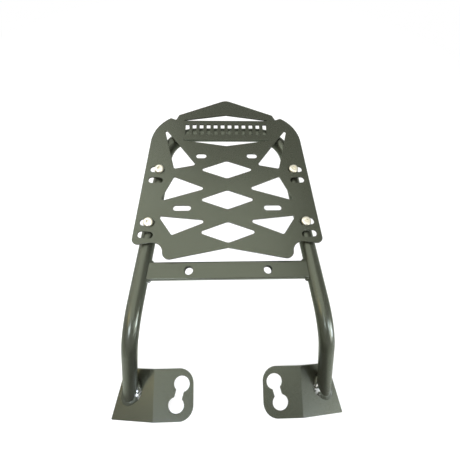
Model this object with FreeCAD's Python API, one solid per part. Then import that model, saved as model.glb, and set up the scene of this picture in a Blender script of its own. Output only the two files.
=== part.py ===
import FreeCAD, Part
import math
import os

# Motorcycle luggage rack: a laser-cut top plate screwed to one bent tube that ends in two sheet feet.
# Millimetres. X runs across, +Y points to the crowned rear end, +Z is up, and left is -X.
# The origin is on the crossbar's top face, midway between its two bolt holes.

# Tube frame, with corners where the straight runs' axes would cross
tube_diameter = 22.0
tube_wall = 2.0
rail_half_spacing = 110.3
rail_taper = 6.5
cross_piece_y = 235.0
rear_bend_radius = 52.0
front_corner_y = -82.0
front_bend_radius = 79.0
leg_drop_angle = 55.5
leg_splay_angle = 9.8
leg_reach = 159.0

# Crossbar
bar_width = 25.0
bar_height = 12.0
bar_wall = 1.5
bar_corner_radius = 2.0
bar_inside_radius = 0.6
bar_hole_diameter = 12.0
bar_hole_spacing = 112.0

# Top plate, with its own datum at the middle diamond's centre
sheet_thickness = 3.0
plate_datum_y = 104.5
side_overhang = 20.3
side_taper = 4.95
crown_tip_y = 189.8
crown_slope = 22.3
crown_half_width = 78.2
crown_tip_radius = 18.0
crown_notch_x = 82.8
crown_notch_y = 147.8
shoulder_start_x = 91.5
shoulder_start_y = 151.4
shoulder_y = 135.0
shoulder_radius = 60.0
front_corner_edge_y = -70.5
front_corner_radius = 8.0
arch_y = -64.8
arch_radius = 16.0
lobe_half_width = 92.4
lobe_radius = 11.0
vee_y = -75.4
vee_angle = 11.05
small_edge_radius = 1.5

# Cut-outs of the plate
wedge_half_width = 79.0
wedge_depth = 12.3
wedge_tip_radius = 0.8
crown_wedge_y = 146.2
band_wedge_y = 108.0
band_slot_count = 12
band_slot_pitch = 11.6
band_slot_width = 6.0
band_slot_length = 21.0
band_slot_y = 128.0
diamond_pitch = 52.0
diamond_half_width = 43.6
diamond_half_length = 16.2
diamond_side_radius = 3.0
diamond_end_radius = 10.0
triangle_radius = 3.0
triangle_tip_radius = 2.0
rear_triangle = [(101.4, 132.4), (48.0, 60.3), (81.9, 53.4)]
middle_triangle = [(81.3, 39.5), (31.1, 18.8), (100.9, -2.5)]
front_triangle = [(100.9, -26.2), (26.6, -33.8), (80.5, -55.9)]
luggage_slot_width = 8.5
rear_luggage_slot_x = 40.2
rear_luggage_slot_y = 76.9
rear_luggage_slot_length = 16.2
front_luggage_slot_x = 67.3
front_luggage_slot_y = -13.8
front_luggage_slot_length = 26.2

# Screws and the threaded bosses that hold the plate off the rails
adjusting_slot_width = 10.0
adjusting_slot_length = 22.0
rear_adjusting_offset = 3.0
front_adjusting_offset = 1.6
adjusting_slot_pitch = 18.8
rear_screw_y = 52.0
front_screw_y = -36.3
screw_diameter = 8.0
screw_length = 16.0
head_diameter = 14.0
head_height = 4.4
head_rim_height = 1.2
head_shoulder_diameter = 11.4
head_shoulder_height = 3.3
head_flat_diameter = 7.6
socket_across_flats = 5.0
socket_depth = 2.6
boss_diameter = 16.0
boss_length = 16.0
boss_rise = 3.0

# Foot brackets, measured from the top rear end of the bend line
foot_thickness = 4.0
foot_tilt = 8.6
foot_bend_angle = 13.3
foot_bend_radius = 4.0
foot_length = 77.7
inner_flange_width = 63.0
inner_corner_radius = 23.0
outer_flange_rear_width = 51.5
outer_flange_front_width = 72.2
outer_corner_radius = 1.5
leg_from_bend = 40.5
leg_from_rear = 37.3
keyhole_diameter = 25.2
keyhole_neck_width = 12.6
keyhole_rear_from_side = 18.7
keyhole_rear_from_rear = 23.1
keyhole_front_from_side = 27.4
keyhole_front_from_front = 23.3

# Weld beads
foot_weld_size = 6.0
bar_weld_radius = 3.2
bar_weld_height = 9.0

up = FreeCAD.Vector(0, 0, 1)
across = FreeCAD.Vector(1, 0, 0)
rearward = FreeCAD.Vector(0, 1, 0)
origin = FreeCAD.Vector(0, 0, 0)

tube_radius = tube_diameter / 2
axis_z = -bar_height / 2
crest_z = axis_z + tube_radius
plate_bottom_z = crest_z + boss_rise
plate_top_z = plate_bottom_z + sheet_thickness


def point(x, y, z=0.0):
    return FreeCAD.Vector(x, y, z)


def mirrored(shape):
    return shape.mirror(origin, across)


def directions_from(corner, before, after):
    return (before - corner).normalize(), (after - corner).normalize()


def fitted_radii(corners, radii):
    # radii made smaller where the arcs at both ends of one edge would overlap
    count = len(corners)
    half_tangents = []
    for index, corner in enumerate(corners):
        to_before, to_after = directions_from(corner, corners[index - 1], corners[(index + 1) % count])
        half_tangents.append(math.tan(to_before.getAngle(to_after) / 2))
    fitted = list(radii)
    for index in range(count):
        following = (index + 1) % count
        room = (corners[following] - corners[index]).Length * 0.995
        wanted = fitted[index] / half_tangents[index] + fitted[following] / half_tangents[following]
        if wanted > room:
            fitted[index] *= room / wanted
            fitted[following] *= room / wanted
    return fitted


def corner_arc(before, corner, after, radius):
    # start, middle and end of the arc that rounds a corner
    to_before, to_after = directions_from(corner, before, after)
    half_angle = to_before.getAngle(to_after) / 2
    bisector = (to_before + to_after).normalize()
    centre = corner + bisector * (radius / math.sin(half_angle))
    reach = radius / math.tan(half_angle)
    return corner + to_before * reach, centre - bisector * radius, corner + to_after * reach


def rounded_edges(corners, radii):
    # straight runs joined by tangent arcs round a closed figure, with a radius of 0 for a sharp corner
    count = len(corners)
    stops = []
    for index, radius in enumerate(fitted_radii(corners, radii)):
        corner = corners[index]
        if radius > 0:
            stops.append(corner_arc(corners[index - 1], corner, corners[(index + 1) % count], radius))
        else:
            stops.append((corner, None, corner))
    edges = []
    for index, (start, middle, end) in enumerate(stops):
        if middle is not None:
            edges.append(Part.Arc(start, middle, end).toShape())
        edges.append(Part.LineSegment(end, stops[(index + 1) % count][0]).toShape())
    return edges


def rounded_wire(corners, radii):
    return Part.Wire(rounded_edges(corners, radii))


def prism(wire, height):
    return Part.Face(wire).extrude(up * height)


def rail_x(y):
    # distance of the rail's axis from the middle plane, at a height y along the rack
    return rail_half_spacing + (plate_datum_y - y) * math.tan(math.radians(rail_taper))


def side_x(y):
    # half width of the plate, at a height y above its own datum
    return rail_half_spacing + side_overhang - y * math.tan(math.radians(side_taper))


def leg_direction():
    drop = math.radians(leg_drop_angle)
    splay = math.radians(leg_splay_angle)
    forward = math.cos(splay)
    return point(math.sin(splay), -forward * math.cos(drop), -forward * math.sin(drop))


def front_corner():
    return point(rail_x(front_corner_y), front_corner_y, axis_z)


def leg_end():
    return front_corner() + leg_direction() * leg_reach


def tube_route():
    # the tube's axis from foot to foot, with the legs carried past the feet to be trimmed
    overrun = tube_diameter * 2
    right_side = [
        point(rail_x(cross_piece_y), cross_piece_y, axis_z),
        front_corner(),
        leg_end() + leg_direction() * overrun,
    ]
    left_side = [point(-corner.x, corner.y, corner.z) for corner in reversed(right_side)]
    radii = [0.0, front_bend_radius, rear_bend_radius, rear_bend_radius, front_bend_radius, 0.0]
    open_route = rounded_edges(left_side + right_side, radii)[:-1]
    return Part.Wire(open_route)


def round_sweep(route, diameter):
    first_edge = route.OrderedEdges[0]
    start = first_edge.valueAt(first_edge.FirstParameter)
    direction = first_edge.tangentAt(first_edge.FirstParameter)
    section = Part.Wire([Part.makeCircle(diameter / 2, start, direction)])
    return route.makePipeShell([section], True, False)


def foot_placement():
    # right foot: local X outwards, local Y rearwards and up the slope, local Z out of the sheet
    tilt = FreeCAD.Rotation(across, foot_tilt)
    bend = math.radians(foot_bend_angle)
    leg_seat = point(leg_from_bend * math.cos(bend), -leg_from_rear, -leg_from_bend * math.sin(bend))
    return FreeCAD.Placement(leg_end() - tilt.multVec(leg_seat), tilt)


def outer_flange_placement():
    # the plane of the outer flange's top face, with its origin at the middle of the leg's end
    fold = FreeCAD.Rotation(rearward, foot_bend_angle)
    return FreeCAD.Placement(leg_end(), foot_placement().Rotation.multiply(fold))


def below_outer_flange():
    size = foot_length * 3
    block = Part.makeBox(size, size, size, point(-size / 2, -size / 2, -size))
    block.Placement = outer_flange_placement().multiply(block.Placement)
    return block


def screw_places():
    # name and place of each screw, on the axis of its rail
    rows = [("rear", rear_screw_y), ("front", front_screw_y)]
    sides = [("left", -1), ("right", 1)]
    places = []
    for row_name, row_y in rows:
        for side_name, side in sides:
            y = plate_datum_y + row_y
            places.append((row_name + "_" + side_name, point(side * rail_x(y), y)))
    return places


def make_tube_frame(rod):
    tube = rod.cut(round_sweep(tube_route(), tube_diameter - 2 * tube_wall))
    trims = [below_outer_flange(), mirrored(below_outer_flange())]
    for name, place in screw_places():
        base = point(place.x, place.y, plate_bottom_z - boss_length)
        trims.append(Part.makeCylinder(boss_diameter / 2, boss_length, base))
    return tube.cut(trims)


def bar_prism(wall, radius):
    # rounded bar that reaches both rails' axes, smaller than the crossbar by a wall all round
    reach = rail_x(-bar_width / 2)
    side = bar_width / 2 - wall
    corners = [point(-reach, -side, wall - bar_height), point(-reach, side, wall - bar_height),
               point(-reach, side, -wall), point(-reach, -side, -wall)]
    return Part.Face(rounded_wire(corners, [radius] * 4)).extrude(across * reach * 2)


def make_crossbar(rod):
    cutters = [bar_prism(bar_wall, bar_inside_radius), rod]
    for side in (-1, 1):
        base = point(side * bar_hole_spacing / 2, 0, -bar_height)
        cutters.append(Part.makeCylinder(bar_hole_diameter / 2, bar_height, base))
    return bar_prism(0, bar_corner_radius).cut(cutters)


def plate_outline():
    side_of_vee = math.tan(math.radians(vee_angle))
    side_of_crown = math.tan(math.radians(crown_slope))
    right_side = [
        (crown_half_width, crown_tip_y - crown_half_width * side_of_crown, small_edge_radius),
        (crown_notch_x, crown_notch_y, small_edge_radius),
        (shoulder_start_x, shoulder_start_y, small_edge_radius),
        (side_x(shoulder_y), shoulder_y, shoulder_radius),
        (side_x(front_corner_edge_y), front_corner_edge_y, front_corner_radius),
        (lobe_half_width, arch_y, arch_radius),
        (lobe_half_width, vee_y - lobe_half_width * side_of_vee, lobe_radius),
    ]
    left_side = [(-x, y, radius) for x, y, radius in reversed(right_side)]
    corners = [(0, crown_tip_y, crown_tip_radius)] + right_side + [(0, vee_y, small_edge_radius)] + left_side
    return rounded_wire([point(x, y) for x, y, radius in corners], [radius for x, y, radius in corners])


def slot_cutter(centre, length, width, angle=0.0):
    # round-ended slot, as deep as the sheet is thick
    straight = (length - width) / 2
    radius = width / 2
    edges = [
        Part.LineSegment(point(-straight, -radius), point(straight, -radius)).toShape(),
        Part.Arc(point(straight, -radius), point(straight + radius, 0), point(straight, radius)).toShape(),
        Part.LineSegment(point(straight, radius), point(-straight, radius)).toShape(),
        Part.Arc(point(-straight, radius), point(-straight - radius, 0), point(-straight, -radius)).toShape(),
    ]
    cutter = prism(Part.Wire(edges), sheet_thickness)
    cutter.Placement = FreeCAD.Placement(centre, FreeCAD.Rotation(up, angle))
    return cutter


def wedge_cutters():
    tips = [wedge_tip_radius, wedge_tip_radius, small_edge_radius]
    cutters = []
    for base_y, direction in ((crown_wedge_y, 1), (band_wedge_y, -1)):
        corners = [point(-wedge_half_width, base_y), point(wedge_half_width, base_y),
                   point(0, base_y + direction * wedge_depth)]
        cutters.append(prism(rounded_wire(corners, tips), sheet_thickness))
    return cutters


def diamond_cutters():
    radii = [diamond_side_radius, diamond_end_radius] * 2
    cutters = []
    for row in (-1, 0, 1):
        y = row * diamond_pitch
        corners = [point(diamond_half_width, y), point(0, y + diamond_half_length),
                   point(-diamond_half_width, y), point(0, y - diamond_half_length)]
        cutters.append(prism(rounded_wire(corners, radii), sheet_thickness))
    return cutters


def triangle_cutters():
    radii = [triangle_tip_radius, triangle_radius, triangle_radius]
    cutters = []
    for corners in (rear_triangle, middle_triangle, front_triangle):
        wire = rounded_wire([point(x, y) for x, y in corners], radii)
        cutter = prism(wire, sheet_thickness)
        cutters += [cutter, mirrored(cutter)]
    return cutters


def band_slot_cutters():
    first_x = -((band_slot_count - 1) * band_slot_pitch + band_slot_width) / 2
    low_y = band_slot_y - band_slot_length / 2
    cutters = []
    for index in range(band_slot_count):
        corner = point(first_x + index * band_slot_pitch, low_y)
        cutters.append(Part.makeBox(band_slot_width, band_slot_length, sheet_thickness, corner))
    return cutters


def luggage_slot_cutters():
    rear_place = point(rear_luggage_slot_x, rear_luggage_slot_y)
    front_place = point(front_luggage_slot_x, front_luggage_slot_y)
    rear_slot = slot_cutter(rear_place, rear_luggage_slot_length, luggage_slot_width)
    front_slot = slot_cutter(front_place, front_luggage_slot_length, luggage_slot_width)
    return [rear_slot, front_slot, mirrored(rear_slot), mirrored(front_slot)]


def adjusting_slot_cutters():
    # each corner has two slots square to the plate's side, and the screw is in the rearmost one
    slope = math.tan(math.radians(side_taper))
    cutters = []
    for screw_y, offset in ((rear_screw_y, rear_adjusting_offset), (front_screw_y, front_adjusting_offset)):
        first_x = rail_x(plate_datum_y + screw_y) + offset
        for step in (0, adjusting_slot_pitch):
            centre = point(first_x + step * slope, screw_y - step)
            cutter = slot_cutter(centre, adjusting_slot_length, adjusting_slot_width, side_taper)
            cutters += [cutter, mirrored(cutter)]
    return cutters


def make_top_plate():
    cutters = wedge_cutters() + diamond_cutters() + triangle_cutters() + band_slot_cutters()
    cutters += luggage_slot_cutters() + adjusting_slot_cutters()
    plate = prism(plate_outline(), sheet_thickness).cut(cutters)
    plate.translate(point(0, plate_datum_y, plate_bottom_z))
    return plate


def make_boss(place):
    base = point(place.x, place.y, plate_bottom_z - boss_length)
    body = Part.makeCylinder(boss_diameter / 2, boss_length, base)
    return body.cut(Part.makeCylinder(screw_diameter / 2, boss_length, base))


def make_screw(place):
    # button head drawn as half of its side view, with a hexagon socket
    profile = [
        point(0, 0, -screw_length),
        point(screw_diameter / 2, 0, -screw_length),
        point(screw_diameter / 2, 0, 0),
        point(head_diameter / 2, 0, 0),
        point(head_diameter / 2, 0, head_rim_height),
        point(head_shoulder_diameter / 2, 0, head_shoulder_height),
        point(head_flat_diameter / 2, 0, head_height),
        point(0, 0, head_height),
        point(0, 0, -screw_length),
    ]
    body = Part.Face(Part.makePolygon(profile)).revolve(origin, up, 360)
    socket_radius = socket_across_flats / 2 / math.cos(math.radians(30))
    hexagon = []
    for index in range(7):
        turn = math.radians(60 * index)
        hexagon.append(point(socket_radius * math.cos(turn), socket_radius * math.sin(turn)))
    socket = prism(Part.makePolygon(hexagon), socket_depth)
    socket.translate(up * (head_height - socket_depth))
    screw = body.cut(socket)
    screw.translate(point(place.x, place.y, plate_top_z))
    return screw


def keyhole_cutter():
    height = foot_thickness * 4
    rear_x = keyhole_rear_from_side - inner_flange_width
    front_x = keyhole_front_from_side - inner_flange_width
    rear = point(rear_x, -keyhole_rear_from_rear, -height / 2)
    front = point(front_x, keyhole_front_from_front - foot_length, -height / 2)
    along = front - rear
    neck = Part.makeBox(along.Length, keyhole_neck_width, height, point(0, -keyhole_neck_width / 2, 0))
    neck.Placement = FreeCAD.Placement(rear, FreeCAD.Rotation(across, along))
    circles = [Part.makeCylinder(keyhole_diameter / 2, height, centre) for centre in (rear, front)]
    return neck.fuse(circles)


def foot_section():
    # side view of the folded sheet, wider than its plan, with the top of the bend line at the origin
    bend = math.radians(foot_bend_angle)
    reach = (inner_flange_width + outer_flange_front_width) * 1.1
    outwards = point(math.cos(bend), 0, -math.sin(bend))
    into_sheet = point(-math.sin(bend), 0, -math.cos(bend)) * foot_thickness
    under_bend = point(-foot_thickness * math.tan(bend / 2), 0, -foot_thickness)
    corners = [
        point(-reach, 0, 0),
        origin,
        outwards * reach,
        outwards * reach + into_sheet,
        under_bend,
        point(-reach, 0, -foot_thickness),
    ]
    return rounded_wire(corners, [0, foot_bend_radius + foot_thickness, 0, 0, foot_bend_radius, 0])


def make_foot_bracket():
    bend = math.radians(foot_bend_angle)
    sheet = Part.Face(foot_section()).extrude(rearward * -foot_length)
    plan = rounded_wire(
        [point(-inner_flange_width, 0), point(-inner_flange_width, -foot_length),
         point(outer_flange_front_width * math.cos(bend), -foot_length),
         point(outer_flange_rear_width * math.cos(bend), 0)],
        [inner_corner_radius, inner_corner_radius, outer_corner_radius, outer_corner_radius])
    depth = outer_flange_front_width
    blank = prism(plan, depth * 2)
    blank.translate(up * -depth)
    foot = sheet.common(blank).cut(keyhole_cutter())
    foot.Placement = foot_placement().multiply(foot.Placement)
    return foot


def leg_section(height, clearance):
    # slanted section of the leg at a height over the outer flange, larger by a clearance all round
    normal = outer_flange_placement().Rotation.multVec(up)
    direction = leg_direction()
    slant = -direction.dot(normal)
    downhill = (direction + normal * slant).normalize()
    sideways = normal.cross(downhill)
    centre = leg_end() - direction * (height / slant)
    half_length = tube_radius / slant + clearance
    half_width = tube_radius + clearance
    ellipse = Part.Ellipse(centre + downhill * half_length, centre + sideways * half_width, centre)
    return Part.Wire([ellipse.toShape()])


def make_foot_weld(rod):
    # a fillet bead between the flange and the leg, all the way round
    sections = [leg_section(0, foot_weld_size), leg_section(foot_weld_size, 0)]
    return Part.makeLoft(sections, True, True).cut(rod)


def make_crossbar_weld(rod):
    # upright beads in the two corners between the bar's long faces and the rail
    half_width = bar_width / 2
    taper = math.radians(rail_taper)
    beads = []
    for side in (-1, 1):
        y = side * half_width
        x = rail_x(y) - tube_radius / math.cos(taper)
        bead = Part.makeCylinder(bar_weld_radius, bar_weld_height, point(x, y, axis_z - bar_weld_height / 2))
        beads.append(bead.cut([rod, bar_prism(0, bar_corner_radius)]))
    return Part.makeCompound(beads)


def build_rack():
    rod = round_sweep(tube_route(), tube_diameter)
    foot = make_foot_bracket()
    foot_weld = make_foot_weld(rod)
    bar_weld = make_crossbar_weld(rod)
    rack = {
        "top_plate": make_top_plate(),
        "tube_frame": make_tube_frame(rod),
        "crossbar": make_crossbar(rod),
        "foot_bracket_left": mirrored(foot),
        "foot_bracket_right": foot,
        "foot_weld_left": mirrored(foot_weld),
        "foot_weld_right": foot_weld,
        "crossbar_weld_left": mirrored(bar_weld),
        "crossbar_weld_right": bar_weld,
    }
    for name, place in screw_places():
        rack["boss_" + name] = make_boss(place)
        rack["screw_" + name] = make_screw(place)
    return rack


os.makedirs("parts", exist_ok=True)
for node, shape in build_rack().items():
    shape.exportStep("parts/" + node + ".step")
    print(node, len(shape.Solids), round(shape.Volume, 1), shape.isValid())
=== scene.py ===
import bmesh
import bpy
import math
from mathutils import Euler, Matrix, Vector, noise


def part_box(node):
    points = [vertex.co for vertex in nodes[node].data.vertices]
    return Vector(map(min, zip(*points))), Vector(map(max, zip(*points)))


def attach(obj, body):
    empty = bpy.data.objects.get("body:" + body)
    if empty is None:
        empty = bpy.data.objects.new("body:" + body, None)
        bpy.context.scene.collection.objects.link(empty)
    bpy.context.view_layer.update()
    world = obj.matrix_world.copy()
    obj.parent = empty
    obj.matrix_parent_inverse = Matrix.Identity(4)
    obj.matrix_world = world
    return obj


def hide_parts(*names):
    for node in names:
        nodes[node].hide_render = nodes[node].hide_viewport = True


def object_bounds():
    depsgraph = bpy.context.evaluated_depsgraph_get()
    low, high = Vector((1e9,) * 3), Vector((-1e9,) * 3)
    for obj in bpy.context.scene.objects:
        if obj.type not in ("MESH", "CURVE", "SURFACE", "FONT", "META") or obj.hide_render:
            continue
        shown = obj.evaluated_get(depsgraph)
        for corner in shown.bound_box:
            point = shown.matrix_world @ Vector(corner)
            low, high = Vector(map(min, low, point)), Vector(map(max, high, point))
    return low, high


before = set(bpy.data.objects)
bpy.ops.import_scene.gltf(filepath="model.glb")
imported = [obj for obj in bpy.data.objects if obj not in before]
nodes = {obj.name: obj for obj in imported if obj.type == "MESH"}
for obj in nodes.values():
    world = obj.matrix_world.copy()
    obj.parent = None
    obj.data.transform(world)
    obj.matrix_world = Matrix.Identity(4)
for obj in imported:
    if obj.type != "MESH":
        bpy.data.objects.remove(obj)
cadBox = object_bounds()
mm = 0.001  # sizes are in millimetres, except where a note says metres
print("frame loaded:", len(nodes), "solids")


def hexColour(code):
    # sRGB hex to the linear colour that the shaders want
    channels = [int(code[i:i + 2], 16) / 255 for i in (1, 3, 5)]
    linear = [c / 12.92 if c <= 0.04045 else ((c + 0.055) / 1.055) ** 2.4 for c in channels]
    return (*linear, 1.0)


def addNode(tree, kind, settings=None):
    # settings: socket name or number, or attribute -> its value, or the output that is linked to it
    node = tree.nodes.new(kind)
    for name, value in (settings or {}).items():
        if isinstance(value, bpy.types.NodeSocket):
            tree.links.new(value, node.inputs[name])
        elif isinstance(name, int) or name in node.inputs:
            node.inputs[name].default_value = value
        else:
            setattr(node, name, value)
    return node


def newMaterial(name):
    material = bpy.data.materials.new(name)
    material.use_nodes = True
    material.node_tree.nodes.clear()
    return material, material.node_tree


def dress(piece, material):
    piece.data.materials.clear()
    piece.data.materials.append(material)


def meshPiece(name, bm, material, smoothBelow=40):
    # smoothBelow: degrees between two faces, above which their edge is sharp
    doublesWithin = 0.001
    bmesh.ops.remove_doubles(bm, verts=bm.verts, dist=doublesWithin * mm)
    bmesh.ops.recalc_face_normals(bm, faces=bm.faces)
    for face in bm.faces:
        face.smooth = True
    mesh = bpy.data.meshes.new(name)
    bm.to_mesh(mesh)
    bm.free()
    mesh.set_sharp_from_angle(angle=math.radians(smoothBelow))
    mesh.materials.append(material)
    piece = bpy.data.objects.new(name, mesh)
    bpy.context.scene.collection.objects.link(piece)
    return piece


def standFor(piece, node):
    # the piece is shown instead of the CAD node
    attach(piece, "root")
    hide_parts(node)


# the camera stands where the photograph was taken from
view = {
    "place": (-12.42, -88.20, 397.20),
    "turn": (20.4386, -1.8163, -1.1723),  # degrees about X, Y and Z
    "lens": 22.458,
    "sensorWidth": 36,
    "clipStart": 10,
}

cameraData = bpy.data.cameras.new("camera")
cameraData.lens = view["lens"]
cameraData.sensor_width = view["sensorWidth"]
cameraData.clip_start = view["clipStart"] * mm
camera = bpy.data.objects.new("camera", cameraData)
camera.location = Vector(view["place"]) * mm
camera.rotation_euler = Euler([math.radians(a) for a in view["turn"]])
bpy.context.scene.collection.objects.link(camera)
bpy.context.scene.camera = camera
print("camera placed")


coat = {
    "colour": "#25261e",
    "mottle": "#20211a",
    "mottleSize": 30,
    "specularTint": "#f4ffe1",
    "ior": 1.5,
    "roughness": 0.28,
    "smoother": 0.03,  # how far the grain takes the roughness down
    "rougher": 0.04,  # and up
    "peelSize": 1.6,  # between the waves of the orange peel
    "peelHeight": 0.02,
    "peelStrength": 0.5,
    "grainSize": 0.5,  # real grain is nearer 0.1 mm, drawn coarser so that it shows
    "grainHeight": 0.01,
    "grainStrength": 0.6,
}


def makeCoat():
    # polyester powder coat, baked on steel: satin, with a faint orange peel that breaks up reflections
    material, tree = newMaterial("satinPowderCoat")
    place = addNode(tree, "ShaderNodeTexCoord").outputs["Object"]
    patches = addNode(tree, "ShaderNodeTexNoise", {
        "Vector": place, "Scale": 1 / (coat["mottleSize"] * mm), "Detail": 3.0})
    # sockets 0, 6 and 7 of a colour mix are its factor and its two colours
    tone = addNode(tree, "ShaderNodeMix", {
        "data_type": "RGBA", 0: patches.outputs["Fac"],
        6: hexColour(coat["mottle"]), 7: hexColour(coat["colour"])})
    peel = addNode(tree, "ShaderNodeTexNoise", {
        "Vector": place, "Scale": 1 / (coat["peelSize"] * mm), "Detail": 1.0})
    grain = addNode(tree, "ShaderNodeTexNoise", {
        "Vector": place, "Scale": 1 / (coat["grainSize"] * mm), "Detail": 2.0})
    waves = addNode(tree, "ShaderNodeBump", {
        "Strength": coat["peelStrength"], "Distance": coat["peelHeight"] * mm,
        "Height": peel.outputs["Fac"]})
    bump = addNode(tree, "ShaderNodeBump", {
        "Strength": coat["grainStrength"], "Distance": coat["grainHeight"] * mm,
        "Height": grain.outputs["Fac"], "Normal": waves.outputs["Normal"]})
    gloss = addNode(tree, "ShaderNodeMapRange", {
        "Value": grain.outputs["Fac"], "From Min": 0.3, "From Max": 0.7,  # where nearly all of the noise is
        "To Min": coat["roughness"] - coat["smoother"], "To Max": coat["roughness"] + coat["rougher"]})
    shader = addNode(tree, "ShaderNodeBsdfPrincipled", {
        "IOR": coat["ior"], "Specular Tint": hexColour(coat["specularTint"]),
        "Base Color": tone.outputs[2], "Roughness": gloss.outputs["Result"],
        "Normal": bump.outputs["Normal"]})
    addNode(tree, "ShaderNodeOutputMaterial", {"Surface": shader.outputs["BSDF"]})
    return material


zinc = {
    "colour": "#c0bcab",
    "worn": "#aca998",
    "roughness": 0.38,
    "smoother": 0.05,
    "rougher": 0.1,
    "speckSize": 0.9,
    "speckHeight": 0.01,
    "speckStrength": 0.2,
}


def makeZinc():
    # bright zinc plate with a clear passivate on a pressed steel head: pale, warm, softly mirroring
    # and a little cloudy
    material, tree = newMaterial("brightZincPlate")
    place = addNode(tree, "ShaderNodeTexCoord").outputs["Object"]
    specks = addNode(tree, "ShaderNodeTexNoise", {
        "Vector": place, "Scale": 1 / (zinc["speckSize"] * mm), "Detail": 2.0})
    tone = addNode(tree, "ShaderNodeMix", {
        "data_type": "RGBA", 0: specks.outputs["Fac"],
        6: hexColour(zinc["colour"]), 7: hexColour(zinc["worn"])})
    bump = addNode(tree, "ShaderNodeBump", {
        "Strength": zinc["speckStrength"], "Distance": zinc["speckHeight"] * mm,
        "Height": specks.outputs["Fac"]})
    gloss = addNode(tree, "ShaderNodeMapRange", {
        "Value": specks.outputs["Fac"],
        "To Min": zinc["roughness"] - zinc["smoother"], "To Max": zinc["roughness"] + zinc["rougher"]})
    shader = addNode(tree, "ShaderNodeBsdfPrincipled", {
        "Metallic": 1.0, "Base Color": tone.outputs[2], "Roughness": gloss.outputs["Result"],
        "Normal": bump.outputs["Normal"]})
    addNode(tree, "ShaderNodeOutputMaterial", {"Surface": shader.outputs["BSDF"]})
    return material


weld = {
    "metal": "#b4b6b2",
    "coat": "#1d1e18",
    "roughness": 0.34,
    "patchSize": 4.5,
    "patchHeight": 0.05,
    "patchStrength": 0.4,
    "bareFrom": 1.12,  # the patch noise and the bead's own bareness added up: here the metal starts
    "bareFull": 1.22,  # and from here nothing else shows
}


def makeWeld():
    # weld bead under a thin coat: dark like the tube, with the bright steel of its crests showing
    # through in patches
    material, tree = newMaterial("coatedWeldBead")
    place = addNode(tree, "ShaderNodeTexCoord").outputs["Object"]
    spots = addNode(tree, "ShaderNodeTexNoise", {
        "Vector": place, "Scale": 1 / (weld["patchSize"] * mm), "Detail": 1.5})
    bare = addNode(tree, "ShaderNodeAttribute", {"attribute_name": "bare"})
    total = addNode(tree, "ShaderNodeMath", {
        "operation": "ADD", 0: spots.outputs["Fac"], 1: bare.outputs["Fac"]})
    edge = addNode(tree, "ShaderNodeMapRange", {
        "Value": total.outputs["Value"], "From Min": weld["bareFrom"], "From Max": weld["bareFull"]})
    tone = addNode(tree, "ShaderNodeMix", {
        "data_type": "RGBA", 0: edge.outputs["Result"],
        6: hexColour(weld["coat"]), 7: hexColour(weld["metal"])})
    bump = addNode(tree, "ShaderNodeBump", {
        "Strength": weld["patchStrength"], "Distance": weld["patchHeight"] * mm,
        "Height": spots.outputs["Fac"]})
    shader = addNode(tree, "ShaderNodeBsdfPrincipled", {
        "Roughness": weld["roughness"], "Specular Tint": hexColour(coat["specularTint"]),
        "Base Color": tone.outputs[2], "Metallic": edge.outputs["Result"],
        "Normal": bump.outputs["Normal"]})
    addNode(tree, "ShaderNodeOutputMaterial", {"Surface": shader.outputs["BSDF"]})
    return material


satinPowderCoat = makeCoat()
brightZincPlate = makeZinc()
coatedWeldBead = makeWeld()

for name, node in nodes.items():
    if name.startswith("screw"):
        dress(node, brightZincPlate)
    elif "weld" in name:
        dress(node, coatedWeldBead)
    else:
        dress(node, satinPowderCoat)
print("finishes made")


cutEdges = {
    "radius": 0.4,  # the little rounding that the baked coat gives a cut edge
    "segments": 2,
    "sharperThan": 35,  # degrees between two faces
    "doublesWithin": 0.01,
    "flatWithin": 0.5,  # degrees, so that each flat side is one face
    "smoothBelow": 80,  # degrees
    "pieces": {
        "deckPlate": "top_plate",
        "crossTube": "crossbar",
        "footPlate.left": "foot_bracket_left",
        "footPlate.right": "foot_bracket_right",
    },
}


def roundCutEdges(name, node):
    # a copy of the solid itself, with its sharp edges rounded
    bm = bmesh.new()
    bm.from_mesh(nodes[node].data)
    bmesh.ops.remove_doubles(bm, verts=bm.verts, dist=cutEdges["doublesWithin"] * mm)
    bmesh.ops.dissolve_limit(bm, angle_limit=math.radians(cutEdges["flatWithin"]),
                             verts=bm.verts, edges=bm.edges)
    cut = [e for e in bm.edges if e.calc_face_angle() > math.radians(cutEdges["sharperThan"])]
    bmesh.ops.bevel(bm, geom=cut, offset=cutEdges["radius"] * mm, offset_type="OFFSET",
                    segments=cutEdges["segments"], profile=0.5, affect="EDGES", material=-1)
    piece = meshPiece(name, bm, satinPowderCoat, cutEdges["smoothBelow"])
    piece.modifiers.new("flat faces stay flat", "WEIGHTED_NORMAL").keep_sharp = True
    standFor(piece, node)


for name, node in cutEdges["pieces"].items():
    roundCutEdges(name, node)
print("cut edges rounded")


# button head screws with a hexagon socket
screw = {
    "headWidth": 14.0,
    "headHeight": 4.4,
    "dome": 2.6,  # radius of the rounding over the rim
    "domeSteps": 8,
    "underChamfer": 0.3,
    "socketWidth": 5.0,  # across flats
    "socketDepth": 2.6,
    "socketEdge": 0.25,
    "drillPoint": 0.4,  # the socket's floor is a shallow cone
    "shankWidth": 8.0,
    "shankLength": 16.0,
    "tipChamfer": 0.8,
    "sides": 72,
    # degrees that each one was left at
    "turned": {"rear_left": 12, "rear_right": 41, "front_left": 27, "front_right": 5},
}


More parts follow.
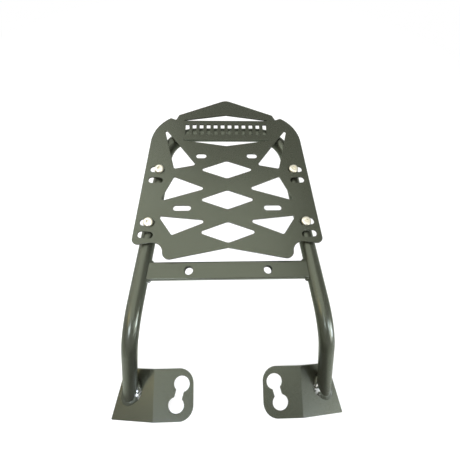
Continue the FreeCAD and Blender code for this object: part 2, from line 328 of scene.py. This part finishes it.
def makeScrew(name, turned):
    size = screw
    low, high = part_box("screw_" + name)
    rim, top, shank = size["headWidth"] / 2, size["headHeight"], size["shankWidth"] / 2
    profile = [(0, -size["shankLength"]), (shank - size["tipChamfer"], -size["shankLength"]),
               (shank, size["tipChamfer"] - size["shankLength"]), (shank, 0), (rim - size["underChamfer"], 0),
               (rim, size["underChamfer"])]
    for step in range(size["domeSteps"] + 1):
        turn = math.radians(90) * step / size["domeSteps"]
        profile.append((rim - size["dome"] * (1 - math.cos(turn)), top - size["dome"] * (1 - math.sin(turn))))
    flat = size["socketWidth"] / 2
    socket = [(flat + size["socketEdge"], top), (flat, top - size["socketEdge"]),
              (flat, top - size["socketDepth"])]
    profile += socket + [(0, top - size["socketDepth"] - size["drillPoint"])]

    bm = bmesh.new()
    verts = [bm.verts.new((out, 0, height)) for out, height in profile]
    edges = [bm.edges.new(pair) for pair in zip(verts, verts[1:])]
    bmesh.ops.spin(bm, geom=verts + edges, cent=(0, 0, 0), axis=(0, 0, 1), angle=math.tau,
                   steps=size["sides"], use_merge=True)

    # push the round socket out to its hexagon, whose flats take 60 degrees each
    near = 0.1
    for v in bm.verts:
        out = math.hypot(v.co.x, v.co.y)
        if near < out < flat + size["socketEdge"] + near and v.co.z > 0:
            fromFlat = (math.degrees(math.atan2(v.co.y, v.co.x)) + 30) % 60 - 30
            v.co.xy *= 1 / math.cos(math.radians(fromFlat))

    centre = (low + high) / 2
    place = Matrix.Translation((centre.x, centre.y, high.z - top * mm))
    place = place @ Matrix.Rotation(math.radians(turned), 4, "Z") @ Matrix.Scale(mm, 4)
    bmesh.ops.transform(bm, verts=bm.verts, matrix=place)
    piece = meshPiece("buttonScrew." + name, bm, brightZincPlate)
    standFor(piece, "screw_" + name)


for name, turned in screw["turned"].items():
    makeScrew(name, turned)
print("screws made")


# the beads round the ends of the legs. Places and directions are for the right foot
footWeld = {
    "legEnd": (158.612, -170.744, -135.124),  # where the leg's axis meets the foot
    "legAlong": (0.17017, -0.55809, -0.81214),  # down the leg
    "footUp": (0.22996, -0.14551, 0.96224),  # square to the foot's outer flange
    "tubeRadius": 11.0,
    "size": 3.4,  # where the bead is smallest, at the front
    "heap": 4.8,  # more than that on the inner side
    "heapTowards": (-0.80, 0.60, 0),  # in and to the rear
    "heapFade": 0.7,  # under 1 is a broad heap
    "convex": 1.5,  # 2 is a flat face, 1 a round one
    "buried": 0.8,
    "toe": 0.8,  # the hidden corner under the face, as a share of its width
    "ripples": 22,
    "rippleHeight": 0.4,
    "rippleLevel": 0.6,  # the share of a crest's height that lies under the smooth face
    "rippleCurl": 1.2,  # how far each ripple trails round at its edges, radians
    "lumpHeight": 0.7,
    "lumpCount": 3.0,  # more is smaller lumps
    "bareTowards": (-0.96, -0.28, 0),  # in and to the front, where metal shows
    "bare": 0.62,
    "bareCrest": 0.12,  # more than that on the crests
    "stepsPerRipple": 8,
    "facePoints": 9,
    "smoothBelow": 75,  # degrees
}


def makeFootWeld(name, node, side):
    bead = footWeld
    face, buried, tube = bead["size"], bead["buried"], bead["tubeRadius"]
    mirrorX = Matrix.Diagonal((side, 1, 1))
    up = (mirrorX @ Vector(bead["footUp"])).normalized()
    along = (mirrorX @ Vector(bead["legAlong"])).normalized()
    inward = mirrorX @ Vector(bead["heapTowards"])
    bareward = mirrorX @ Vector(bead["bareTowards"])
    legEnd = mirrorX @ Vector(bead["legEnd"])
    slant = -along.dot(up)
    downhill = (along + up * slant).normalized()
    sideways = up.cross(downhill)

    # the bead's section, spun into a ring and then leaned over with the leg
    bm = bmesh.new()
    section = []
    for i in range(bead["facePoints"]):
        turn = math.pi / 2 * i / (bead["facePoints"] - 1)
        section.append((face * math.cos(turn) ** bead["convex"], face * math.sin(turn) ** bead["convex"]))
    section += [(-buried, face), (-buried, -buried), (face * bead["toe"], -buried)]
    verts = [bm.verts.new((tube + out, 0, high)) for out, high in section]
    edges = [bm.edges.new((verts[i - 1], verts[i])) for i in range(len(verts))]
    bmesh.ops.spin(bm, geom=verts + edges, cent=(0, 0, 0), axis=(0, 0, 1), angle=math.tau,
                   steps=bead["ripples"] * bead["stepsPerRipple"], use_merge=True)

    bareness = bm.verts.layers.float.new("bare")
    for v in bm.verts:
        turn = math.atan2(v.co.y, v.co.x)
        out, high = math.hypot(v.co.x, v.co.y) - tube, v.co.z
        facing = (downhill * math.cos(turn) + sideways * math.sin(turn)).normalized()
        grown = 1 + bead["heap"] / face * max(0.0, facing.dot(inward)) ** bead["heapFade"]
        crest = 0
        if out > -buried / 2 and high > -buried / 2:  # only the open face is rippled
            across = math.atan2(high, max(out, 0)) / (math.pi / 2)
            phase = turn * bead["ripples"] + bead["rippleCurl"] * math.cos(across * math.tau)
            crest = abs(math.sin(phase / 2))
            lump = noise.noise(Vector((math.cos(turn), math.sin(turn), across * 0.5)) * bead["lumpCount"])
            ripple = (crest - bead["rippleLevel"]) * math.sin(across * math.pi) ** 0.5
            grown += (bead["rippleHeight"] * ripple + bead["lumpHeight"] * lump) / face
        out = out * grown if out > 0 else out
        high = high * grown if high > 0 else high
        centre = legEnd - along * (high / slant)
        place = (centre + downhill * math.cos(turn) * (tube / slant + out)
                 + sideways * math.sin(turn) * (tube + out))
        v[bareness] = max(0.0, facing.dot(bareward)) ** 2 * (bead["bare"] + bead["bareCrest"] * crest)
        v.co = place * mm
    piece = meshPiece(name, bm, coatedWeldBead, bead["smoothBelow"])
    standFor(piece, node)


# two short upright beads at each end of the crossbar, where its corners meet the rail
barWeld = {
    "corners": ((109.7, 12.5), (112.6, -12.5)),  # out from the middle line, and along the rack
    "middleHeight": -6,
    "radius": 3.8,
    "height": 9.0,
    "fullest": 1.35,  # limits how blunt the two ends are
    "ripples": 4,
    "rippleHeight": 0.3,
    "lumpShare": 0.12,
    "lumpCount": 1.7,  # more is smaller lumps
    "bare": 0.35,
    "bareFront": 0.62,  # on the front of the front left bead, where metal shows
    "sides": 32,
    "rings": 24,
    "smoothBelow": 75,  # degrees
}


def makeBarWeld(name, node):
    # each bead is a lumpy pill
    bead = barWeld
    side = 1 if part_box(node)[0].x > 0 else -1
    bm = bmesh.new()
    bareness = bm.verts.layers.float.new("bare")
    for cornerX, cornerY in bead["corners"]:
        pill = bmesh.ops.create_uvsphere(bm, u_segments=bead["sides"], v_segments=bead["rings"], radius=1)
        for v in pill["verts"]:
            rise = v.co.z
            wave = 0.5 - 0.5 * math.cos(rise * math.pi * bead["ripples"])
            ripple = 1 - bead["rippleHeight"] / bead["radius"] * wave
            spot = v.co * bead["lumpCount"] + Vector((cornerX, cornerY, side))
            lump = 1 + bead["lumpShare"] * noise.noise(spot)
            blunt = min(math.sqrt(1 + rise ** 2), bead["fullest"])
            width = bead["radius"] * min(1.0, ripple * lump) * blunt
            frontLeft = side < 0 and cornerY < 0 and v.co.y < 0
            v[bareness] = bead["bareFront"] if frontLeft else bead["bare"]
            v.co = Vector((side * cornerX + v.co.x * width, cornerY + v.co.y * width,
                           bead["middleHeight"] + rise * bead["height"] / 2)) * mm
    piece = meshPiece(name, bm, coatedWeldBead, bead["smoothBelow"])
    standFor(piece, node)


makeFootWeld("footBead.left", "foot_weld_left", -1)
makeFootWeld("footBead.right", "foot_weld_right", 1)
makeBarWeld("barBead.left", "crossbar_weld_left")
makeBarWeld("barBead.right", "crossbar_weld_right")
print("weld beads made")


# floor and sky, in metres
studio = {
    "floorSize": 6.0,
    "floorDrop": 0.0005,  # the gap under the lowest point of the rack
    "floorShade": "#b4b4b0",  # what the rack is lit by
    "cameraShade": 0.25,  # share of the floor's look that takes the shadow
    "cameraGlow": 0.84,
    "shadeReach": 0.45,  # from the middle to where that shading starts to fade out
    "glossyGlow": 1.0,  # the floor that the rack mirrors
    "floorTint": "#f2fbe9",
    "shadowPatchGlow": 0.2,  # a painted shadow on that floor in front of the rack, seen only in reflections, which the legs mirror
    "shadowPatchSide": (0.215, 0.17),  # out from the middle line: where the painted shadow starts, and where it is full
    "shadowPatchFront": (-0.15, -0.20),  # the same along the rack
    "skyLight": 0.2,
    "skyWhite": 1.0,
}


def anyRay(tree, kinds):
    # 1 for a ray of one of these kinds, 0 for any other
    ray = addNode(tree, "ShaderNodeLightPath")
    total = ray.outputs[kinds[0]]
    for kind in kinds[1:]:
        both = addNode(tree, "ShaderNodeMath", {"operation": "MAXIMUM", 0: total, 1: ray.outputs[kind]})
        total = both.outputs["Value"]
    return total


def makePaleFloor():
    # each kind of ray meets its own look
    material, tree = newMaterial("paleFloor")

    # for the camera: white, darkened a little where the rack shades it
    shadow = addNode(tree, "ShaderNodeBsdfDiffuse", {"Color": (studio["cameraShade"],) * 3 + (1,)})
    glow = addNode(tree, "ShaderNodeEmission", {"Strength": studio["cameraGlow"]})
    pale = addNode(tree, "ShaderNodeAddShader", {0: shadow.outputs[0], 1: glow.outputs[0]})

    # and plain white far off, so that no horizon shows
    spot = addNode(tree, "ShaderNodeTexCoord").outputs["Object"]
    reach = addNode(tree, "ShaderNodeVectorMath", {"operation": "LENGTH", "Vector": spot})
    farOff = addNode(tree, "ShaderNodeMapRange", {
        "Value": reach.outputs["Value"],
        "From Min": studio["shadeReach"], "From Max": 2 * studio["shadeReach"]})
    white = addNode(tree, "ShaderNodeEmission", {"Strength": 1.0})
    shown = addNode(tree, "ShaderNodeMixShader", {
        0: farOff.outputs["Result"], 1: pale.outputs[0], 2: white.outputs[0]})

    # for reflections: almost white, with a painted shadow on the floor in front of the legs, which darkens
    # the cores that they mirror
    place = addNode(tree, "ShaderNodeSeparateXYZ", {"Vector": spot})
    aside = addNode(tree, "ShaderNodeMath", {"operation": "ABSOLUTE", 0: place.outputs["X"]})
    between = addNode(tree, "ShaderNodeMapRange", {
        "Value": aside.outputs[0], "From Min": studio["shadowPatchSide"][0], "From Max": studio["shadowPatchSide"][1]})
    ahead = addNode(tree, "ShaderNodeMapRange", {
        "Value": place.outputs["Y"], "From Min": studio["shadowPatchFront"][0], "From Max": studio["shadowPatchFront"][1]})
    # the painted shadow: full in front of the rack between the legs, fading out to the sides and to the rear
    patch = addNode(tree, "ShaderNodeMath", {
        "operation": "MULTIPLY", 0: between.outputs["Result"], 1: ahead.outputs["Result"]})
    level = addNode(tree, "ShaderNodeMapRange", {
        "Value": patch.outputs[0], "To Min": studio["glossyGlow"], "To Max": studio["shadowPatchGlow"]})
    mirrored = addNode(tree, "ShaderNodeEmission", {
        "Color": hexColour(studio["floorTint"]), "Strength": level.outputs["Result"]})

    # for every other ray: the pale grey that lights the rack
    grey = addNode(tree, "ShaderNodeBsdfDiffuse", {"Color": hexColour(studio["floorShade"])})
    toCamera = anyRay(tree, ["Is Camera Ray"])
    reflected = anyRay(tree, ["Is Glossy Ray", "Is Transmission Ray"])
    unseen = addNode(tree, "ShaderNodeMixShader", {0: reflected, 1: grey.outputs[0], 2: mirrored.outputs[0]})
    look = addNode(tree, "ShaderNodeMixShader", {0: toCamera, 1: unseen.outputs[0], 2: shown.outputs[0]})

    # from underneath the camera looks through it
    back = addNode(tree, "ShaderNodeNewGeometry").outputs["Backfacing"]
    below = addNode(tree, "ShaderNodeMath", {"operation": "MULTIPLY", 0: back, 1: toCamera})
    clear = addNode(tree, "ShaderNodeBsdfTransparent")
    surface = addNode(tree, "ShaderNodeMixShader", {
        0: below.outputs["Value"], 1: look.outputs[0], 2: clear.outputs[0]})
    addNode(tree, "ShaderNodeOutputMaterial", {"Surface": surface.outputs[0]})
    return material


def makeFloor():
    bm = bmesh.new()
    bmesh.ops.create_grid(bm, x_segments=1, y_segments=1, size=studio["floorSize"] / 2)
    bmesh.ops.translate(bm, verts=bm.verts, vec=(0, 0, cadBox[0][2] - studio["floorDrop"]))
    floor = meshPiece("floor", bm, makePaleFloor())


def makeWorld():
    # white for the camera and in reflections, and a faint light for the rest
    world = bpy.data.worlds.new("studio")
    bpy.context.scene.world = world
    world.use_nodes = True
    tree = world.node_tree
    tree.nodes.clear()
    seen = anyRay(tree, ["Is Camera Ray", "Is Glossy Ray", "Is Transmission Ray"])
    strength = addNode(tree, "ShaderNodeMapRange", {
        "Value": seen, "To Min": studio["skyLight"], "To Max": studio["skyWhite"]})
    sky = addNode(tree, "ShaderNodeBackground", {
        "Color": hexColour("#ffffff"), "Strength": strength.outputs["Result"]})
    addNode(tree, "ShaderNodeOutputWorld", {"Surface": sky.outputs[0]})


lampsRound = (0, 40, -20)  # the point that the lamps stand round
leftBend = (-138, -98, -22)
rightBend = (165, -98, -22)
softboxes = {
    # direction from that point, distance and size in metres, and radiance. Some have a colour, or
    # a point to aim at and a spread in degrees. The narrow ones draw the streaks on the bends
    "overhead": {"from": (-0.26, -0.02, 0.96), "away": 1.3, "size": (1.8, 1.8), "glow": 2.75},
    "leftWall": {"from": (-0.90, 0.28, 0.33), "away": 1.4, "size": (1.6, 0.8), "glow": 2.1,
                 "colour": "#fffbf4"},
    "frontWindow": {"from": (-0.28, -0.76, 0.62), "away": 1.3, "size": (0.45, 0.50), "glow": 0.85,
                    "colour": "#dde2ff", "aim": leftBend, "spread": 14},
    "leftFront": {"from": (-0.69, -0.32, 0.64), "away": 1.3, "size": (0.4, 0.4), "glow": 5.2,
                  "colour": "#ffd88c"},
    "rightWindow": {"from": (0.79, -0.58, 0.20), "away": 1.3, "size": (0.62, 0.36), "glow": 13.0},
    "rightStrip": {"from": (0.58, -0.64, 0.50), "away": 1.4, "size": (0.30, 0.40), "glow": 0.55,
                   "colour": "#dde2ff", "aim": rightBend, "spread": 12},
    "lowStrip": {"from": (0.80, -0.57, 0.08), "away": 1.3, "size": (0.40, 0.30), "glow": 0.7,
                 "colour": "#dde2ff", "aim": leftBend, "spread": 14},
    "leftRear": {"from": (-0.50, 0.62, 0.60), "away": 1.3, "size": (0.8, 0.8), "glow": 1.9},
}


def makeSoftboxes():
    for name, box in softboxes.items():
        data = bpy.data.lights.new(name, "AREA")
        data.shape = "RECTANGLE"
        data.size, data.size_y = box["size"]
        data.energy = box["glow"] * math.pi * data.size * data.size_y
        data.color = hexColour(box.get("colour", "#ffffff"))[:3]
        data.spread = math.radians(box.get("spread", 180))
        lamp = bpy.data.objects.new(name, data)
        direction = Vector(box["from"]).normalized()
        lamp.location = Vector(lampsRound) * mm + direction * box["away"]
        aim = Vector(box.get("aim", lampsRound)) * mm
        lamp.rotation_euler = (lamp.location - aim).to_track_quat("Z", "Y").to_euler()
        bpy.context.scene.collection.objects.link(lamp)


makeFloor()
makeWorld()
makeSoftboxes()
bpy.context.scene.view_settings.view_transform = "Standard"
print("floor and light set")
